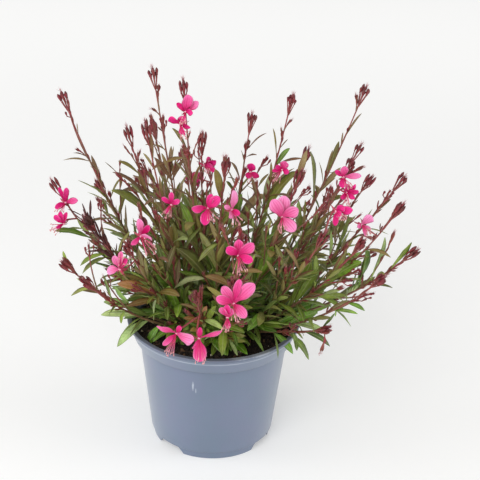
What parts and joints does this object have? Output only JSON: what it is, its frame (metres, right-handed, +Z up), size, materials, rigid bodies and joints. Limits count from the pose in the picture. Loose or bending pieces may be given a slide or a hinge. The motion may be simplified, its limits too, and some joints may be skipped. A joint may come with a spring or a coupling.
{
  "type": "potted gaura",
  "caption": "Flowering gaura in a round plastic nursery pot: an open dome of leafy stems with pink clawed-petal blooms and slim wine-red buds.",
  "frame": {"origin": "middle of the whole object's box, on the surface the pot stands on", "axes": "+Z up, +X to the right and -Y towards the viewer, as in the picture"},
  "size_m": [0.27, 0.2364, 0.289],
  "materials": {
    "pot_plastic": "semi-matte moulded plastic, blue-grey",
    "potting_soil": "dark, moist and crumbly",
    "leaves_and_stems": "soft green leaves on reddish stems with wine-red buds",
    "petals": "thin satin petals, hot pink with deeper pink claws"
  },
  "bodies": {
    "root": {"pot": "pot_plastic", "soil": "potting_soil", "leafy_stem_01": "leaves_and_stems", "leafy_stem_02": "leaves_and_stems", "leafy_stem_03": "leaves_and_stems", "leafy_stem_04": "leaves_and_stems", "leafy_stem_05": "leaves_and_stems", "leafy_stem_06": "leaves_and_stems", "leafy_stem_07": "leaves_and_stems", "leafy_stem_08": "leaves_and_stems", "leafy_stem_09": "leaves_and_stems", "leafy_stem_10": "leaves_and_stems", "leafy_stem_11": "leaves_and_stems", "leafy_stem_12": "leaves_and_stems", "leafy_stem_13": "leaves_and_stems", "leafy_stem_14": "leaves_and_stems", "leafy_stem_15": "leaves_and_stems", "leafy_stem_16": "leaves_and_stems", "leafy_stem_17": "leaves_and_stems", "leafy_stem_18": "leaves_and_stems", "leafy_stem_19": "leaves_and_stems", "leafy_stem_20": "leaves_and_stems", "leafy_stem_21": "leaves_and_stems", "leafy_stem_22": "leaves_and_stems", "leafy_stem_23": "leaves_and_stems", "leafy_stem_24": "leaves_and_stems", "leafy_stem_25": "leaves_and_stems", "leafy_stem_26": "leaves_and_stems", "leafy_stem_27": "leaves_and_stems", "leafy_stem_28": "leaves_and_stems", "leafy_stem_29": "leaves_and_stems", "leafy_stem_30": "leaves_and_stems", "leafy_stem_31": "leaves_and_stems", "leafy_stem_32": "leaves_and_stems", "leafy_stem_33": "leaves_and_stems", "leafy_stem_34": "leaves_and_stems", "leafy_stem_35": "leaves_and_stems", "leafy_stem_36": "leaves_and_stems", "leafy_stem_37": "leaves_and_stems", "leafy_stem_38": "leaves_and_stems", "bloom_top": "petals", "bloom_left": "petals", "bloom_left_low": "petals", "bloom_front_left": "petals", "bloom_left_front": "petals", "bloom_middle_left": "petals", "bloom_middle": "petals", "bloom_pale": "petals", "bloom_wide": "petals", "bloom_front_right": "petals", "bloom_front": "petals", "bloom_over_rim_left": "petals", "bloom_over_rim_right": "petals", "bloom_right_high": "petals", "bloom_right_deep": "petals", "bloom_right_pale": "petals", "bloom_upper_right": "petals", "bloom_upper_middle": "petals", "bloom_upper_left": "petals", "bloom_back": "petals"}
  },
  "joints": []
}
